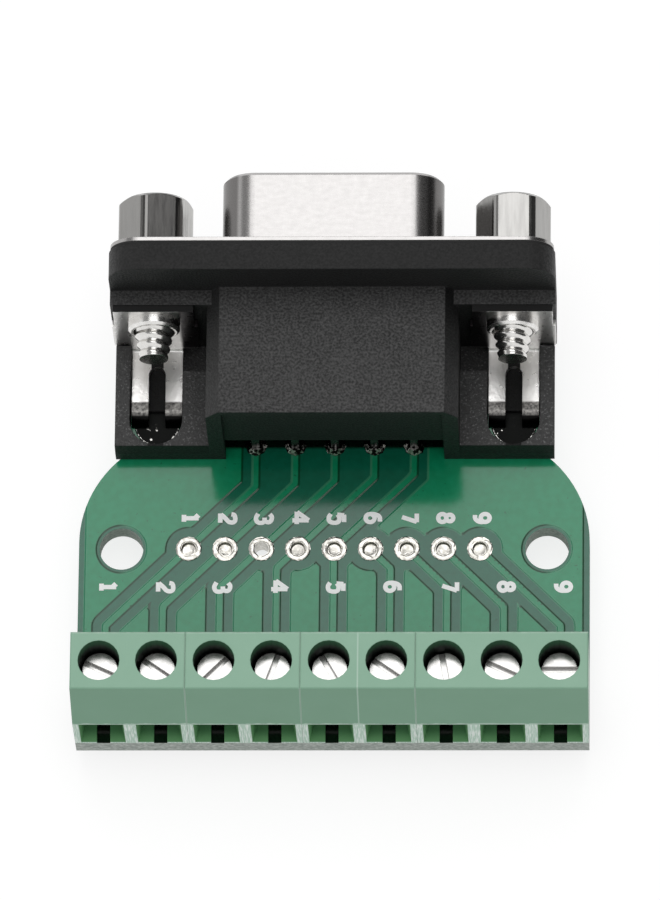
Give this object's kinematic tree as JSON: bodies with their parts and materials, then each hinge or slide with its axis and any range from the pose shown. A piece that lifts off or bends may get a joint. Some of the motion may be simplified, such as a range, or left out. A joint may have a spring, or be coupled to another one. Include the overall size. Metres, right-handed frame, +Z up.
{
  "type": "d-sub socket to screw terminal adapter",
  "caption": "Right-angle D-sub socket on a green board, wired to a row of rising-cage screw terminals.",
  "frame": {"origin": "midway between the two mounting holes, on the board's underside", "axes": "+X along the row of terminals, +Y out of the socket, +Z up out of the board's top"},
  "size_m": [0.0356, 0.0385, 0.0159],
  "materials": {
    "solder_mask_board": "glass-fibre board under glossy green solder mask",
    "tinned_copper": "bright tin",
    "green_housing": "moulded polyamide, semi-matt green",
    "tinned_contact": "tin-plated brass",
    "plated_cage": "nickel-plated brass",
    "plated_screw": "bright zinc-plated steel",
    "tinned_steel_shell": "satin tin-plated steel",
    "black_socket_face": "glass-filled polyester, matt black",
    "gold_contact": "gold-flashed barrel with a tinned tail",
    "black_moulding": "glass-filled polyester, finely spark-eroded matt black",
    "nickel_bracket": "nickel-plated steel strip",
    "nickel_insert": "nickel-plated brass",
    "nickel_jackscrew": "nickel-plated brass",
    "solder": "bright solder"
  },
  "bodies": {
    "adapter": {"board": "solder_mask_board", "breakout_pads": "tinned_copper", "terminal_housing_1_to_2": "green_housing", "terminal_housing_3_to_4": "green_housing", "terminal_housing_5_to_6": "green_housing", "terminal_housing_7_to_9": "green_housing", "terminal_contact_1": "tinned_contact", "terminal_contact_2": "tinned_contact", "terminal_contact_3": "tinned_contact", "terminal_contact_4": "tinned_contact", "terminal_contact_5": "tinned_contact", "terminal_contact_6": "tinned_contact", "terminal_contact_7": "tinned_contact", "terminal_contact_8": "tinned_contact", "terminal_contact_9": "tinned_contact", "socket_shell": "tinned_steel_shell", "socket_insulator": "black_socket_face", "socket_contact_1": "gold_contact", "socket_contact_2": "gold_contact", "socket_contact_3": "gold_contact", "socket_contact_4": "gold_contact", "socket_contact_5": "gold_contact", "socket_contact_6": "gold_contact", "socket_contact_7": "gold_contact", "socket_contact_8": "gold_contact", "socket_contact_9": "gold_contact", "connector_body": "black_moulding", "bracket_left": "nickel_bracket", "bracket_right": "nickel_bracket", "threaded_insert_left": "nickel_insert", "threaded_insert_right": "nickel_insert", "jackscrew_left": "nickel_jackscrew", "jackscrew_right": "nickel_jackscrew", "terminal_solder": "solder", "socket_solder": "solder"},
    "screw_1": {"terminal_screw_1": "plated_screw"},
    "cage_1": {"clamp_cage_1": "plated_cage"},
    "screw_2": {"terminal_screw_2": "plated_screw"},
    "cage_2": {"clamp_cage_2": "plated_cage"},
    "screw_3": {"terminal_screw_3": "plated_screw"},
    "cage_3": {"clamp_cage_3": "plated_cage"},
    "screw_4": {"terminal_screw_4": "plated_screw"},
    "cage_4": {"clamp_cage_4": "plated_cage"},
    "screw_5": {"terminal_screw_5": "plated_screw"},
    "cage_5": {"clamp_cage_5": "plated_cage"},
    "screw_6": {"terminal_screw_6": "plated_screw"},
    "cage_6": {"clamp_cage_6": "plated_cage"},
    "screw_7": {"terminal_screw_7": "plated_screw"},
    "cage_7": {"clamp_cage_7": "plated_cage"},
    "screw_8": {"terminal_screw_8": "plated_screw"},
    "cage_8": {"clamp_cage_8": "plated_cage"},
    "screw_9": {"terminal_screw_9": "plated_screw"},
    "cage_9": {"clamp_cage_9": "plated_cage"}
  },
  "joints": [
    {"name": "screw_1_turn", "type": "hinge", "parent": "adapter", "child": "screw_1", "pos_m": [-0.01584, -0.01105, 0.0055], "axis": [0, 0, -1], "range_deg": [0, 1260]},
    {"name": "cage_1_lift", "type": "slide", "parent": "adapter", "child": "cage_1", "axis": [0, 0, 1], "range_m": [0, 0.0014]},
    {"name": "screw_2_turn", "type": "hinge", "parent": "adapter", "child": "screw_2", "pos_m": [-0.01188, -0.01105, 0.0055], "axis": [0, 0, -1], "range_deg": [0, 1260]},
    {"name": "cage_2_lift", "type": "slide", "parent": "adapter", "child": "cage_2", "axis": [0, 0, 1], "range_m": [0, 0.0014]},
    {"name": "screw_3_turn", "type": "hinge", "parent": "adapter", "child": "screw_3", "pos_m": [-0.00792, -0.01105, 0.0055], "axis": [0, 0, -1], "range_deg": [0, 1260]},
    {"name": "cage_3_lift", "type": "slide", "parent": "adapter", "child": "cage_3", "axis": [0, 0, 1], "range_m": [0, 0.0014]},
    {"name": "screw_4_turn", "type": "hinge", "parent": "adapter", "child": "screw_4", "pos_m": [-0.00396, -0.01105, 0.0055], "axis": [0, 0, -1], "range_deg": [0, 1260]},
    {"name": "cage_4_lift", "type": "slide", "parent": "adapter", "child": "cage_4", "axis": [0, 0, 1], "range_m": [0, 0.0014]},
    {"name": "screw_5_turn", "type": "hinge", "parent": "adapter", "child": "screw_5", "pos_m": [0, -0.01105, 0.0055], "axis": [0, 0, -1], "range_deg": [0, 1260]},
    {"name": "cage_5_lift", "type": "slide", "parent": "adapter", "child": "cage_5", "axis": [0, 0, 1], "range_m": [0, 0.0014]},
    {"name": "screw_6_turn", "type": "hinge", "parent": "adapter", "child": "screw_6", "pos_m": [0.00396, -0.01105, 0.0055], "axis": [0, 0, -1], "range_deg": [0, 1260]},
    {"name": "cage_6_lift", "type": "slide", "parent": "adapter", "child": "cage_6", "axis": [0, 0, 1], "range_m": [0, 0.0014]},
    {"name": "screw_7_turn", "type": "hinge", "parent": "adapter", "child": "screw_7", "pos_m": [0.00792, -0.01105, 0.0055], "axis": [0, 0, -1], "range_deg": [0, 1260]},
    {"name": "cage_7_lift", "type": "slide", "parent": "adapter", "child": "cage_7", "axis": [0, 0, 1], "range_m": [0, 0.0014]},
    {"name": "screw_8_turn", "type": "hinge", "parent": "adapter", "child": "screw_8", "pos_m": [0.01188, -0.01105, 0.0055], "axis": [0, 0, -1], "range_deg": [0, 1260]},
    {"name": "cage_8_lift", "type": "slide", "parent": "adapter", "child": "cage_8", "axis": [0, 0, 1], "range_m": [0, 0.0014]},
    {"name": "screw_9_turn", "type": "hinge", "parent": "adapter", "child": "screw_9", "pos_m": [0.01584, -0.01105, 0.0055], "axis": [0, 0, -1], "range_deg": [0, 1260]},
    {"name": "cage_9_lift", "type": "slide", "parent": "adapter", "child": "cage_9", "axis": [0, 0, 1], "range_m": [0, 0.0014]}
  ],
  "couplings": [
    {"joint": "screw_1_turn", "follows": "cage_1_lift", "rad_per_m": 15708},
    {"joint": "screw_2_turn", "follows": "cage_2_lift", "rad_per_m": 15708},
    {"joint": "screw_3_turn", "follows": "cage_3_lift", "rad_per_m": 15708},
    {"joint": "screw_4_turn", "follows": "cage_4_lift", "rad_per_m": 15708},
    {"joint": "screw_5_turn", "follows": "cage_5_lift", "rad_per_m": 15708},
    {"joint": "screw_6_turn", "follows": "cage_6_lift", "rad_per_m": 15708},
    {"joint": "screw_7_turn", "follows": "cage_7_lift", "rad_per_m": 15708},
    {"joint": "screw_8_turn", "follows": "cage_8_lift", "rad_per_m": 15708},
    {"joint": "screw_9_turn", "follows": "cage_9_lift", "rad_per_m": 15708}
  ]
}
